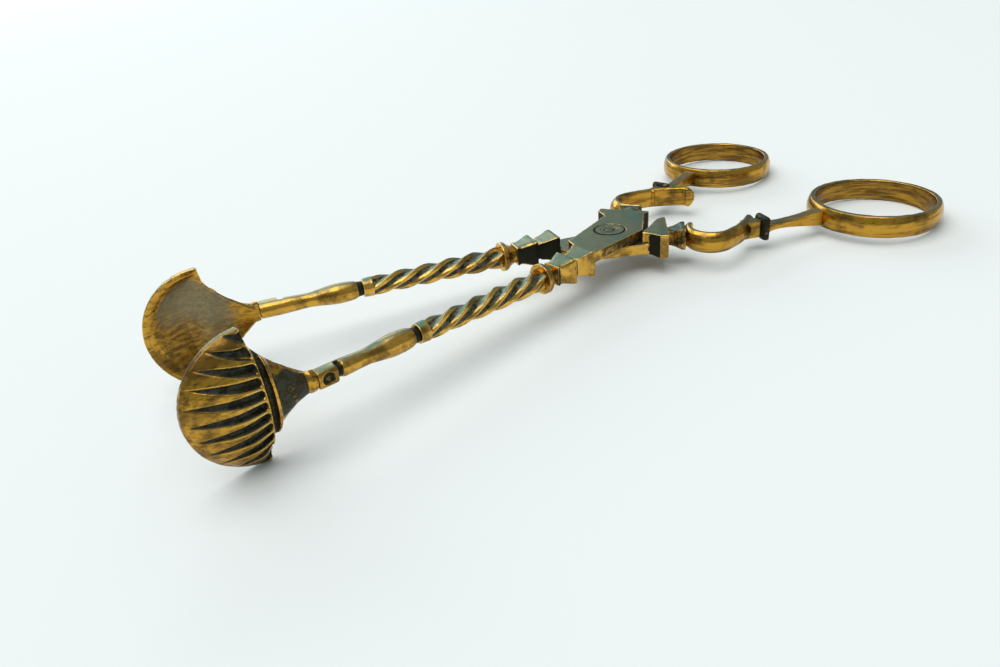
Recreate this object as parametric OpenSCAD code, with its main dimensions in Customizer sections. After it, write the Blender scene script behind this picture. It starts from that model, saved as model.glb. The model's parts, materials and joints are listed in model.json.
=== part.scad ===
// Sugar nippers. Two cast brass arms cross in a half lap and turn on an iron
// rivet. Each arm runs from a fluted shell, along a baluster and a twisted
// bar, through a square block and a hinge leaf, to a scroll and a finger ring.
// The lower arm is the upper one turned over, but for the end of its scroll.
//
// Every piece of an arm is drawn in the arm's own frame, with the nippers
// closed: the rivet stands on the origin, the shell lies towards -X, the
// finger ring towards +X and +Y, and the other arm is beyond the XZ plane.

/* [Opening] */
// Angle that each arm is turned from closed, as the nippers lie on a table
half_open = 9.6; // [4:0.2:16]
// Gap between the two shell rims when closed
rim_gap = 0.3; // [0.2:0.1:1]

/* [Stem] */
// Distance from the closing plane to the axis of the stem
stem_offset = 3.1; // [2.9:0.1:3.7]
// Length of the twisted bar between its ferrule and the collar
twist_length = 24.3; // [18:0.2:32]
// Number of turns in the twisted bar
twist_turns = 1.35; // [0.8:0.05:2]
// Radius over the ridges of the twisted bar, next to the ferrule
twist_r_small = 1.75; // [1.5:0.05:1.9]
// Radius over the ridges of the twisted bar, next to the collar
twist_r_large = 2.05; // [1.8:0.05:2.2]
// Depth of the hollow in each face of the twisted bar, as a part of its radius
twist_hollow = 0.36; // [0.3:0.02:0.4]
// Length of the round ferrule at the foot of the twisted bar
ferrule_length = 1.8; // [1:0.1:2]
// Length of the baluster between its groove and the eye knop
baluster_length = 13.7; // [11:0.2:18]
// Largest radius of the baluster
baluster_r = 1.8; // [1.6:0.05:2.1]
// Smallest radius of the baluster
baluster_waist_r = 1.28; // [1.2:0.02:1.5]
// Width of the groove between the baluster and the ferrule
stem_groove = 0.8; // [0.5:0.1:1.2]
// Length of the square eye knop
eye_knop_length = 3.2; // [2.8:0.1:4.4]
// Half height of the square eye knop
eye_knop_half = 1.4; // [1.35:0.05:1.7]
// Distance from the stem's axis to the face of the eye knop
eye_knop_proud = 1.65; // [1.5:0.05:1.9]
// Radius of the collar disc
collar_r = 2.7; // [2.3:0.1:2.8]
// Thickness of the collar disc at its rim
collar_rim = 0.8; // [0.5:0.1:1.2]
// Length of the collar with its hollow cone
collar_length = 2.8; // [2.2:0.1:3.6]

/* [Shell] */
// Radius of the round rim of the shell
shell_r = 10.7; // [10:0.1:13]
// Depth of the hollow of the shell below its rim
shell_depth = 3.8; // [3:0.1:4.8]
// Thickness of the shell at its deepest point, between the flutes
shell_wall = 1.5; // [1.1:0.1:1.8]
// Thickness of the shell at its rim
rim_thickness = 0.9; // [0.7:0.1:1.2]
// Width of the flat border round the hollow of the shell
border = 0.85; // [0.6:0.05:1.1]
// Number of flutes, an odd number
flute_count = 11; // [9:2:11]
// Angle between two flutes, seen from the point where they would meet
flute_pitch = 5.2; // [4.6:0.1:5.5]
// Distance from the base line of the flutes back to that point
flute_reach = 18.9; // [17:0.1:21]
// Depth of a flute near the base line
flute_depth = 0.85; // [0.5:0.05:1]
// Half width of a flute near the base line, as a part of the pitch
flute_half = 0.37; // [0.3:0.01:0.42]
// Length of the neck between the eye knop and the base line of the flutes
neck_length = 7.5; // [6:0.1:10]
// Half height of the neck where it meets the eye knop
neck_half = 1.9; // [1.7:0.1:2.3]

/* [Hinge] */
// Thickness of each hinge leaf, half of the joint
leaf_thickness = 2.05; // [1.8:0.05:2.3]
// Gap between the two hinge leaves
lap_gap = 0.1; // [0.06:0.02:0.2]
// Radius of the rivet pin
pin_r = 1.2; // [1:0.05:1.5]
// Radial clearance of the rivet pin in the hinge leaves
pin_clearance = 0.05; // [0.03:0.01:0.1]
// Radius of the flush washer under each rivet head
washer_r = 2.8; // [2.5:0.1:3.4]
// Thickness of the washer
washer_thickness = 0.45; // [0.35:0.05:0.6]
// Width of the groove round the washer
washer_groove = 0.2; // [0.1:0.05:0.3]
// Gap under the upper washer, so that the upper arm turns
washer_float = 0.05; // [0.03:0.01:0.1]
// Distance from the rivet to the near face of the square block
block_face = 10; // [9.8:0.1:12]
// Half width of the larger rim of the square block
block_half_w = 2.6; // [2.3:0.05:2.75]
// Half height of the larger rim of the square block
block_half_h = 2.5; // [2.2:0.05:2.6]
// Half width of the smaller rim of the square block, and of the leaf there
leaf_root_half = 2.5; // [2.2:0.05:2.6]
// Half height of the smaller rim of the square block
leaf_root_half_h = 2.4; // [2.05:0.05:2.5]

/* [Handle] */
// Angle at which the handle leaves the joint
shoulder_angle = 28; // [26:0.5:30]
// Distance from the rivet to the middle of the shoulder knop
shoulder_reach = 9.9; // [9.7:0.1:11]
// Half width of the shoulder knop
shoulder_half_w = 4.6; // [4.2:0.1:4.7]
// Half height of the shoulder knop
shoulder_half_h = 2.25; // [2.1:0.05:2.5]
// Thickness of the rim of the shoulder knop
shoulder_rim = 1.6; // [1.2:0.1:2]
// Length of the small flared collar behind the shoulder knop
flare_length = 3.4; // [3:0.1:4]
// Half width of the small flared collar
flare_half_w = 2.3; // [2:0.1:2.6]
// Height of the scroll band
band_height = 4; // [3.6:0.1:4.4]
// Thickness of the scroll band
band_thickness = 1.9; // [1.6:0.1:2.2]
// Radius of the small turn of the scroll, to the middle of the band
turn_r = 4.35; // [4.1:0.05:4.7]
// Radius of the long sweep of the scroll, to the middle of the band
sweep_r = 19; // [17:0.5:21]
// Radius of the blunt inward end of the upper arm's scroll
spur_r = 1.9; // [1.6:0.1:2.3]
// Distance from the rivet to the middle of the handle knop
knop_reach = 29; // [28.6:0.1:30]
// Half height of the handle knop
knop_half_h = 2.35; // [2.1:0.05:2.5]
// Half width of the handle knop
knop_half_w = 2; // [1.8:0.05:2.3]
// Thickness of the handle knop
knop_thickness = 1.4; // [1:0.1:1.8]
// Thinnest radius of the ring neck
ring_neck_r = 1; // [0.95:0.05:1.2]

/* [Finger ring] */
// Inner radius of the finger ring
ring_bore_r = 10.75; // [9.5:0.05:12]
// Wall of the finger ring
ring_wall = 1.45; // [1.2:0.05:1.8]
// Height of the finger ring
ring_height = 4.1; // [3.6:0.1:4.6]
// Distance from the rivet to the centre of the finger ring, along the arm
ring_reach = 51.6; // [49:0.2:56]
// Gap between each finger ring and the closing plane when closed
ring_gap = 0.3; // [0.2:0.1:1]

/* [Joints in an arm] */
// Radius of the spigots that locate the pieces of an arm
spigot_r = 0.8; // [0.6:0.05:0.85]
// Radial clearance of a spigot in its socket
spigot_clearance = 0.03; // [0.02:0.01:0.06]
// Depth of a spigot in its socket
spigot_depth = 2; // [1.5:0.1:2.2]
// Gap left at the end of a socket
socket_relief = 0.3; // [0.2:0.1:0.5]

/* [Hidden] */
$fn = 64;

// Colours
bright_brass = "#c0953a";
aged_brass = "#a07a30";
dark_brass = "#6b5a2c";
iron = "#5a4034";

// Steps of a hollow flare, the margin by which a cut passes a face, and sizes
// that are larger than any bar and any piece near a joint
flare_steps = 8;
past = 1;
bar_reach = 20;
room = 12;

// Lengths of the square block: two hollow flares, their rims and a waist
block_flare_1 = 3.2;
block_rim_1 = 0.8;
block_waist = 0.6;
block_flare_2 = 3.1;
block_rim_2 = 0.7;
block_small_half = 1.75;
block_waist_half = 1.7;

// Places along the stem, from the rivet towards the shell. The round rim is
// centred on the base line of the flutes.
x_waist = -block_face - block_rim_2 - block_flare_2;
x_rim = x_waist - block_waist;
x_block = x_rim - block_rim_1 - block_flare_1;
x_collar = x_block - collar_length;
x_ferrule = x_collar - twist_length;
x_groove = x_ferrule - ferrule_length;
x_baluster = x_groove - stem_groove - baluster_length;
x_eye = x_baluster - eye_knop_length;
x_base = x_eye - neck_length;
shell_x = x_base;

// The turned shapes of the stem
collar_neck_r = 1.6;
groove_r = 1.3;
ferrule_r_foot = 1.62;
baluster_foot_r = 1.42;
baluster_waist_at = 0.3;
baluster_swell_at = 0.74;
baluster_steps = 24;
knop_groove = 0.9;
knop_groove_r = 1;
eye_knop_round = 1.8;
eye_r = 0.95;
eye_depth = 0.5;
twist_points = 24;
twist_slices = 44;
twist_edge = 1.4;

// The direction of the handle behind the shoulder knop
shoulder_x = shoulder_reach * cos(shoulder_angle);
shoulder_y = shoulder_reach * sin(shoulder_angle);

// The hinge leaf: its free corners turn inside the other arm's shoulders
lap_r = 6.05;
shoulder_gap = 0.3;
shoulder_root_x = 4.4;
shoulder_root_half = 2.2;
leaf_free_r = 9.15;
leaf_free_angle = 166.5;
leaf_inner_end = from_shoulder(-shoulder_rim / 2, -shoulder_half_w);
leaf_outer_half = 2.4;
leaf_outer_end = from_shoulder(-shoulder_rim / 2, leaf_outer_half);
leaf_edge_angle = acos(lap_r / norm(leaf_inner_end))
  - atan2(leaf_inner_end[1], leaf_inner_end[0]);

// The rivet head, closed down into the countersunk washer
head_r = 1.8;
head_sink = 0.3;
head_rise = 0.1;
boss_flat_r = 0.5;
boss_r = 0.8;
boss_groove = 0.12;
boss_groove_r = 1;
boss_ring_r = 1.25;

// The shoulder knop reaches further inwards, up to the other arm's knop
shoulder_inner = 5.3;

// The flared collar sits a little inwards of the shoulder knop's middle
flare_shift = -0.9;
flare_root = 1.35;
flare_rim = 0.7;
x_flare = shoulder_rim / 2 + flare_length;

// The two arcs of the scroll: the small turn, then the long sweep
turn_x = 17;
turn_y = 8;
turn_start = 235;
turn_end = 75;
sweep_x = turn_x - (sweep_r - turn_r) * cos(turn_end);
sweep_y = turn_y - (sweep_r - turn_r) * sin(turn_end);
sweep_end_upper = 36;
sweep_end_lower = 46;
spur_sweep = 72;
band_crown_r = 2.4;
band_bevel = 0.3;
band_step = 10;
crown_steps = 8;
band_embed = 0.8;
toe_length = 3.5;
toe_half = 0.95;
toe_height = 3.4;

// The finger ring, and the axis of its neck, which runs to the ring's centre
ring_r = ring_bore_r + ring_wall;
ring_y = ring_r + ring_gap;
ring_edge = 0.55;
ring_crown_r = (pow(ring_height / 2, 2) + pow(ring_edge, 2)) / (2 * ring_edge);
knop_y = 9.7;
knop_x = sqrt(knop_reach * knop_reach - knop_y * knop_y);
neck_angle = atan2(ring_y - knop_y, ring_reach - knop_x);
neck_run = norm([ring_reach - knop_x, ring_y - knop_y]) - ring_r;
neck_end_half_h = ring_height / 2 - ring_edge;
neck_end_half_w = 1.25;
neck_overrun = 0.6;
neck_root_half_w = 1.2;
neck_root_half_h = 1.3;
neck_thin_from = 0.18;
neck_thin_to = 0.7;
knop_bevel = 0.4;

// The shell. Each flute has six columns: one on the ridge beside it and five
// across its hollow, with these places and depths. The neck takes all the
// columns but those of one flute and one ridge at each end.
flute_places = [0, -1, -0.55, 0, 0.55, 1];
flute_depths = [0, 0, 0.85, 1, 0.85, 0];
flute_steps = len(flute_places);
wing_columns = flute_steps + 1;
corner_blunt = 0.5;
corner_angle = flute_count / 2 * flute_pitch;
base_angle = (flute_count / 2 - 1.5 + flute_half) * flute_pitch;
base_half = flute_reach * tan(base_angle);
rim_depth = rim_gap / 2;
neck_front = 1.35;
neck_back = 1.5;
neck_inner = stem_offset - neck_front;
neck_outer = stem_offset + neck_back;
neck_fall = 1.8;
neck_crown = 0.6;
neck_edge = 0.8;
neck_hollow = 0.35;
neck_front_half = 1.45;
dome_power = 0.85;
blend_end = 0.55;
flute_start = 0.05;
flute_end = 0.93;
flute_taper = 1.3;
flute_least = 0.06;
least_wall = 0.45;
least_reach = 0.5;
bowl_rows = [0, 0.05, 0.13, 0.24, 0.36, 0.48, 0.6, 0.71, 0.81, 0.9, 1];
// Rows along the neck, each with how far its outer face is cut back there:
// the cross groove, the ridge beside it, and the sunk web before the eye knop
neck_rows = [
  [0.02, 0.25], [0.05, 0.95], [0.12, 0.95], [0.155, 0], [0.2, 0], [0.25, 0.6],
  [0.4, 0.55], [0.6, 0.55], [0.84, 0.5], [0.89, 0], [1, 0]
];

// How the nippers lie: on the lower corners of the shells and the far
// underside of the finger rings
rim_foot = ray_rim(corner_angle);
foot_x = fan_x() - rim_foot * cos(corner_angle);
foot_z = rim_foot * sin(corner_angle);
shell_foot_x = foot_x * cos(half_open) + (rim_depth + rim_thickness) * sin(half_open);
ring_centre_x = ring_reach * cos(half_open) - ring_y * sin(half_open);
ring_foot_x = ring_centre_x + ring_r - ring_edge;
lie_angle = atan2(foot_z - ring_height / 2, ring_foot_x - shell_foot_x);
pivot_z = ring_foot_x * sin(lie_angle) + ring_height / 2 * cos(lie_angle);

// The rivet's place along the length, so that the whole is centred on the origin
tip_x = shell_x * cos(half_open) * cos(lie_angle)
  - shell_r * norm([cos(half_open) * cos(lie_angle), sin(lie_angle)]);
ring_end_x = (ring_centre_x + ring_r - ring_crown_r) * cos(lie_angle) + ring_crown_r;
pivot_x = -(tip_x + ring_end_x) / 2;

function mix(a, b, s) = a + (b - a) * s;
function eased(s) = let (c = min(max(s, 0), 1)) c * c * (3 - 2 * c);

// A point of the shoulder knop's frame, in the arm's frame
function from_shoulder(x, y) = [
  shoulder_x + x * cos(shoulder_angle) - y * sin(shoulder_angle),
  shoulder_y + x * sin(shoulder_angle) + y * cos(shoulder_angle)
];

// A hollow flare: half width a at x0, growing to b at x1
function flare(x0, x1, a, b) = [
  for (i = [0:flare_steps]) let (s = i / flare_steps)
    [x0 + (x1 - x0) * s, a + (b - a) * (1 - cos(90 * s))]
];
function mirrored(pts) = concat(pts, [
  for (i = [len(pts) - 1:-1:0]) [pts[i][0], -pts[i][1]]
]);

// A bar whose plan and side view each follow a list of [x, half size]
module profiled_bar(plan, side) {
  intersection() {
    translate([0, 0, -bar_reach / 2]) linear_extrude(bar_reach) polygon(mirrored(plan));
    rotate([90, 0, 0]) translate([0, 0, -bar_reach / 2])
      linear_extrude(bar_reach) polygon(mirrored(side));
  }
}

// A shape turned about the X axis, from a list of [x, radius]
module turned(profile) {
  rotate([0, 90, 0]) rotate_extrude() polygon([for (p = profile) [p[1], p[0]]]);
}

// A round rod along the X axis, and a socket for one
module rod(r, x0, x1) {
  translate([x0, 0, 0]) rotate([0, 90, 0]) cylinder(r = r, h = x1 - x0);
}
module socket(x0, x1) {
  rod(spigot_r + spigot_clearance, x0, x1);
}

// Frames of the arm
module on_stem() {
  translate([0, -stem_offset, 0]) children();
}
module on_shoulder() {
  translate([shoulder_x, shoulder_y, 0]) rotate([0, 0, shoulder_angle]) children();
}
module on_flare() {
  on_shoulder() translate([0, flare_shift, 0]) children();
}
module on_ring_neck() {
  translate([knop_x, knop_y, 0]) rotate([0, 0, neck_angle]) children();
}

// The nippers as they lie on a table
module lie_down() {
  translate([pivot_x, 0, pivot_z]) rotate([0, lie_angle, 0]) children();
}
module upper_arm() {
  lie_down() rotate([0, 0, half_open]) children();
}
module lower_arm() {
  lie_down() rotate([0, 0, -half_open]) rotate([180, 0, 0]) children();
}

// The shell: a grid of rays from the point where the flutes would meet. The
// part t runs from the base line of the flutes, 0, to the rim, 1. Depths are
// measured from the closing plane, towards -Y.
function flute_width(t) = t > flute_end ? 0 : 1 - pow(t / flute_end, flute_taper);
function column_angle(j, t) = let (
  k = floor(j / flute_steps),
  place = flute_places[j % flute_steps],
  middle = j % flute_steps == 0 ? 0 : 0.5
) (k + middle + place * flute_half * max(flute_width(t), flute_least) - flute_count / 2)
  * flute_pitch;
function fan_x() = x_base + flute_reach;
function ray_rim(a) = let (d = fan_x() - shell_x)
  d * cos(a) + sqrt(pow(shell_r, 2) - pow(d * sin(a), 2));
function back_edge() = (ray_rim(corner_angle) - corner_blunt)
  * [cos(corner_angle), sin(corner_angle)] - [flute_reach, base_half];
function ray_base(a) = abs(a) <= base_angle ? flute_reach / cos(a)
  : (flute_reach * back_edge()[1] - base_half * back_edge()[0])
    / (cos(a) * back_edge()[1] - sin(abs(a)) * back_edge()[0]);
function across(a) = tan(a) / tan(base_angle);
function crown(a) = 1 - pow(across(a), 2);
function wing(a) = max(0, (abs(a) - base_angle) / (corner_angle - base_angle));

// Depths of the inner and outer face of the neck, the part u along it, and of
// the wings beside it
function edge_depth(u) = mix(neck_edge, neck_inner, eased(u));
function neck_depth(a, u, outer) = outer
  ? mix(edge_depth(u) + rim_thickness, neck_outer, pow(crown(a), neck_crown))
  : mix(edge_depth(u), neck_inner + neck_hollow * (1 - u), crown(a));
function back_depth(a, outer) = abs(a) < base_angle ? neck_depth(a, 0, outer)
  : mix(neck_edge, rim_depth, wing(a)) + (outer ? rim_thickness : 0);

// Depth of the hollow inside a round border, and of the domed face outside it
function dome(x, z, r) = pow(
  max(0, 1 - (pow(x - shell_x, 2) + z * z) / (r * r)), dome_power);
function bowl_depth(x, z, outer) = rim_depth + (outer
  ? rim_thickness + (shell_depth + shell_wall - rim_thickness) * dome(x, z, shell_r)
  : shell_depth * dome(x, z, shell_r - border));
function flute_cut(j, t) = flute_depth * flute_depths[j % flute_steps]
  * min(t / flute_start, flute_width(t));

// A point of the bowl, on column j, in row i. The last row but one is the
// edge of the border.
function row_place(a, i) = let (
  reach = max(least_reach, 1 - border / (ray_rim(a) - ray_base(a))),
  last = len(bowl_rows) - 1
) i < last ? reach * bowl_rows[i] / bowl_rows[last - 1] : 1;
function bowl_point(j, i, outer) = let (
  a = column_angle(j, bowl_rows[i]),
  t = row_place(a, i),
  r = mix(ray_base(a), ray_rim(a), t),
  x = fan_x() - r * cos(a),
  z = r * sin(a),
  s = eased(t / blend_end),
  inner = mix(back_depth(a, false), bowl_depth(x, z, false), s),
  face = mix(back_depth(a, true), bowl_depth(x, z, true), s),
  cut = min(flute_cut(j, t), max(0, face - inner - least_wall))
) [x, -(outer ? face - cut : inner), z];

// A point of the neck, on column j, in row m
function neck_point(j, m, outer) = let (
  a = column_angle(j, 0),
  u = neck_rows[m][0],
  half = mix(outer ? neck_half : neck_front_half, base_half, pow(1 - u, neck_fall)),
  inner = neck_depth(a, u, false),
  face = neck_depth(a, u, true),
  cut = min(neck_rows[m][1], max(0, face - inner - least_wall))
) [x_base + neck_length * u, -(outer ? face - cut : inner), across(a) * half];

function halves(q) = [[q[0], q[1], q[2]], [q[0], q[2], q[3]]];

module shell_solid() {
  columns = flute_count * flute_steps;
  rows = len(bowl_rows);
  first = wing_columns;
  last = columns - first;
  neck_columns = last - first + 1;
  bowl_size = rows * (columns + 1);
  neck_size = len(neck_rows) * neck_columns;
  sides = [true, false];
  points = concat(
    [for (outer = sides) for (i = [0:rows - 1]) for (j = [0:columns])
      bowl_point(j, i, outer)],
    [for (outer = sides) for (m = [0:len(neck_rows) - 1]) for (j = [first:last])
      neck_point(j, m, outer)]
  );
  // Numbers of the points: b and c on the bowl, n and p on the neck
  function b(i, j) = i * (columns + 1) + j;
  function c(i, j) = bowl_size + b(i, j);
  function n(m, j) = m == 0 ? b(0, j)
    : 2 * bowl_size + (m - 1) * neck_columns + j - first;
  function p(m, j) = m == 0 ? c(0, j) : n(m, j) + neck_size;
  end = len(neck_rows);
  rim = rows - 1;
  quads = concat(
    [for (i = [0:rim - 1]) for (j = [0:columns - 1])
      [b(i, j), b(i + 1, j), b(i + 1, j + 1), b(i, j + 1)]],
    [for (i = [0:rim - 1]) for (j = [0:columns - 1])
      [c(i, j), c(i, j + 1), c(i + 1, j + 1), c(i + 1, j)]],
    [for (m = [0:end - 1]) for (j = [first:last - 1])
      [n(m, j), n(m, j + 1), n(m + 1, j + 1), n(m + 1, j)]],
    [for (m = [0:end - 1]) for (j = [first:last - 1])
      [p(m, j), p(m + 1, j), p(m + 1, j + 1), p(m, j + 1)]],
    [for (j = [0:columns - 1]) [b(rim, j + 1), b(rim, j), c(rim, j), c(rim, j + 1)]],
    [for (i = [0:rim - 1]) [b(i + 1, 0), b(i, 0), c(i, 0), c(i + 1, 0)]],
    [for (i = [0:rim - 1])
      [b(i, columns), b(i + 1, columns), c(i + 1, columns), c(i, columns)]],
    [for (j = [0:columns - 1]) if (j < first || j >= last)
      [b(0, j), b(0, j + 1), c(0, j + 1), c(0, j)]],
    [for (m = [0:end - 1]) [n(m, first), n(m + 1, first), p(m + 1, first), p(m, first)]],
    [for (m = [0:end - 1]) [n(m + 1, last), n(m, last), p(m, last), p(m + 1, last)]],
    [for (j = [first:last - 1]) [n(end, j), n(end, j + 1), p(end, j + 1), p(end, j)]]
  );
  polyhedron(points, [for (q = quads) for (f = halves(q)) f]);
}

module shell_grip() {
  color(bright_brass) union() {
    shell_solid();
    on_stem() rod(spigot_r, x_eye - past, x_eye + spigot_depth);
  }
}

// The baluster: a square knop with a sunk eye, a waist, a swell and a groove
function baluster_radius(s) =
  s < baluster_waist_at
    ? mix(baluster_foot_r, baluster_waist_r, eased(s / baluster_waist_at))
  : s < baluster_swell_at
    ? mix(baluster_waist_r, baluster_r,
        eased((s - baluster_waist_at) / (baluster_swell_at - baluster_waist_at)))
  : mix(groove_r, baluster_r,
      sqrt(1 - pow((s - baluster_swell_at) / (1 - baluster_swell_at), 2)));

module baluster() {
  swell_length = baluster_length - knop_groove;
  swell_from = x_baluster + knop_groove;
  color(aged_brass) on_stem() difference() {
    union() {
      // The knop stands out on the outer side only; the inner side is plain
      intersection() {
        translate([x_eye, -eye_knop_proud, -eye_knop_half])
          cube([eye_knop_length, eye_knop_proud, 2 * eye_knop_half]);
        rod(eye_knop_round, x_eye - past, x_baluster + past);
      }
      intersection() {
        rod(baluster_foot_r, x_eye, swell_from);
        translate([x_eye - past, 0, -room / 2]) cube(room);
      }
      rod(knop_groove_r, x_eye, swell_from);
      turned(concat(
        [[swell_from, 0]],
        [for (i = [0:baluster_steps]) let (s = i / baluster_steps)
          [swell_from + swell_length * s, baluster_radius(s)]],
        [[x_groove, groove_r], [x_groove, 0]]
      ));
    }
    translate([x_eye + eye_knop_length / 2, eye_depth - eye_knop_proud, 0])
      rotate([90, 0, 0]) cylinder(r = eye_r, h = past);
    socket(x_eye - past, x_eye + spigot_depth + socket_relief);
    socket(x_groove - stem_groove - spigot_depth - socket_relief, x_groove + past);
  }
}

// The twisted bar: a square with hollow faces, turned along its length
function twist_radius(a) =
  twist_r_small * (1 - twist_hollow * pow(abs(sin(2 * a)), twist_edge));

module twisted_bar() {
  color(bright_brass) on_stem() union() {
    translate([x_ferrule, 0, 0]) rotate([0, 90, 0])
      linear_extrude(twist_length, twist = 360 * twist_turns,
        scale = twist_r_large / twist_r_small, slices = twist_slices, $fn = twist_points)
        polygon([for (i = [0:twist_points - 1]) let (a = 360 * i / twist_points)
          twist_radius(a) * [cos(a), sin(a)]]);
    turned([[x_groove, 0], [x_groove, ferrule_r_foot], [x_ferrule, twist_r_small],
      [x_ferrule, 0]]);
    rod(spigot_r, x_groove - stem_groove - spigot_depth, x_groove + past);
    rod(spigot_r, x_collar - past, x_block + spigot_depth);
  }
}

// The collar: a disc with a hollow cone behind it, threaded on the bar's spigot
module stem_collar() {
  cone = flare(x_block, x_collar + collar_rim, collar_neck_r, collar_r);
  bore_r = spigot_r + spigot_clearance;
  color(bright_brass) on_stem()
    turned(concat(cone, [[x_collar, collar_r], [x_collar, bore_r], [x_block, bore_r]]));
}

// The hinge block: the square block, the half-lap leaf and the shoulder knop
module square_block() {
  on_stem() profiled_bar(
    concat(
      flare(x_block, x_rim - block_rim_1, block_small_half, block_half_w),
      [[x_rim, block_half_w], [x_rim, block_waist_half]],
      flare(x_waist, -block_face - block_rim_2, block_waist_half, leaf_root_half),
      [[-block_face, leaf_root_half]]
    ),
    concat(
      flare(x_block, x_rim - block_rim_1, block_small_half, block_half_h),
      [[x_rim, block_half_h], [x_rim, block_waist_half]],
      flare(x_waist, -block_face - block_rim_2, block_waist_half, leaf_root_half_h),
      [[-block_face, leaf_root_half_h]]
    )
  );
}

module leaf_plate() {
  translate([0, 0, lap_gap / 2]) linear_extrude(leaf_thickness - lap_gap / 2) polygon([
    [-block_face, -stem_offset - leaf_root_half],
    lap_r * [cos(leaf_edge_angle), -sin(leaf_edge_angle)],
    leaf_inner_end,
    leaf_outer_end,
    leaf_free_r * [cos(leaf_free_angle), sin(leaf_free_angle)],
    [-block_face, -stem_offset + leaf_root_half]
  ]);
}

module shoulder_knop() {
  difference() {
    on_shoulder() {
      profiled_bar(
        concat(
          flare(-shoulder_root_x, -shoulder_rim / 2, shoulder_root_half, shoulder_half_w),
          [[shoulder_rim / 2, shoulder_half_w]]
        ),
        concat(
          flare(-shoulder_root_x, -shoulder_rim / 2, leaf_thickness, shoulder_half_h),
          [[shoulder_rim / 2, shoulder_half_h]]
        )
      );
      translate([-shoulder_rim / 2, -shoulder_inner, -shoulder_half_h])
        cube([shoulder_rim, shoulder_inner, 2 * shoulder_half_h]);
    }
    // The inner end is cut flat, where it meets the other arm's when closed
    translate([lap_r, rim_depth - room, -room / 2]) cube(room);
    // Room for the other arm's leaf, whose edge lies along this line when closed
    rotate([0, 0, leaf_edge_angle])
      translate([lap_r + shoulder_gap - room, -room, lap_gap / 2 - room])
        cube([room, 2 * room, room]);
  }
}

module hinge_block(float) {
  color(aged_brass) difference() {
    union() {
      square_block();
      leaf_plate();
      shoulder_knop();
    }
    cylinder(r = pin_r + pin_clearance, h = leaf_thickness + past);
    translate([0, 0, leaf_thickness - washer_thickness - float])
      cylinder(r = washer_r + washer_groove, h = past);
    on_stem() socket(x_block - past, x_block + spigot_depth + socket_relief);
    on_flare() socket(shoulder_rim / 2 - spigot_depth - socket_relief,
      shoulder_rim / 2 + past);
  }
}

// The small flared collar behind the shoulder knop
module flared_collar() {
  start = shoulder_rim / 2;
  color(bright_brass) on_flare() difference() {
    profiled_bar(
      concat(flare(start, x_flare - flare_rim, flare_root, flare_half_w),
        [[x_flare, flare_half_w]]),
      concat(flare(start, x_flare - flare_rim, flare_root, band_height / 2),
        [[x_flare, band_height / 2]])
    );
    socket(start - past, x_flare + past);
  }
}

// The scroll band: a section flat inside and crowned outside, swept in the XY
// plane. A path is a list of [x, y, outward angle].
function arc_path(x, y, r, a0, a1) = let (steps = ceil(abs(a1 - a0) / band_step)) [
  for (i = [0:steps]) let (a = mix(a0, a1, i / steps)) [x + r * cos(a), y + r * sin(a), a]
];
function after(path) = [for (i = [1:len(path) - 1]) path[i]];
function band_section() = let (h = band_height / 2, w = -band_thickness / 2) concat(
  [[w, band_bevel - h], [w + band_bevel, -h]],
  [for (i = [0:crown_steps]) let (z = h * (2 * i / crown_steps - 1))
    [-w - band_crown_r + sqrt(pow(band_crown_r, 2) - z * z), z]],
  [[w + band_bevel, h], [w, h - band_bevel]]
);

module swept_band(path) {
  section = band_section();
  k = len(section);
  end = len(path) - 1;
  points = [for (p = path) for (q = section)
    [p[0] + q[0] * cos(p[2]), p[1] + q[0] * sin(p[2]), q[1]]];
  quads = [for (i = [0:end - 1]) for (j = [0:k - 1]) let (m = (j + 1) % k)
    [i * k + j, (i + 1) * k + j, (i + 1) * k + m, i * k + m]];
  polyhedron(points, concat(
    [for (q = quads) for (f = halves(q)) f],
    [[for (j = [0:k - 1]) j]],
    [[for (j = [k - 1:-1:0]) end * k + j]]
  ));
}

// The scroll: curled inwards behind the flared collar, then round and back in
// along the sweep; the spur carries the upper arm's band on past its knop
module scroll_band(sweep_end, spur) {
  spur_at = (sweep_r - spur_r) * [cos(sweep_end), sin(sweep_end)];
  swept_band(concat(
    arc_path(turn_x, turn_y, turn_r, turn_start, turn_end),
    after(arc_path(sweep_x, sweep_y, sweep_r, turn_end, sweep_end)),
    spur > 0 ? after(arc_path(sweep_x + spur_at[0], sweep_y + spur_at[1], spur_r,
      sweep_end, sweep_end - spur)) : []
  ));
  on_ring_neck() translate([-knop_thickness / 2 - toe_length, -toe_half, -toe_height / 2])
    cube([toe_length, 2 * toe_half, toe_height]);
}

module scroll(sweep_end, spur) {
  color(bright_brass) union() {
    difference() {
      scroll_band(sweep_end, spur);
      // Room for the flared collar
      on_flare() translate([x_flare - room, -room, -room / 2])
        cube([room, room + flare_half_w, room]);
      // Room for the handle knop, and the socket of the ring neck's spigot
      on_ring_neck() {
        translate([-knop_thickness / 2, -knop_half_w, -room / 2])
          cube([room, room, room]);
        socket(-knop_thickness / 2 - spigot_depth - socket_relief, 0);
      }
    }
    on_flare() rod(spigot_r, shoulder_rim / 2 - spigot_depth, x_flare + band_embed);
  }
}

// The square handle knop between the scroll and the ring neck
module handle_knop() {
  start = -knop_thickness / 2;
  full = start + knop_bevel;
  color(dark_brass) on_ring_neck() difference() {
    profiled_bar(
      [[start, knop_half_w - knop_bevel], [full, knop_half_w], [-start, knop_half_w]],
      [[start, knop_half_h - knop_bevel], [full, knop_half_h], [-start, knop_half_h]]
    );
    socket(start - past, past - start);
  }
}

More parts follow.
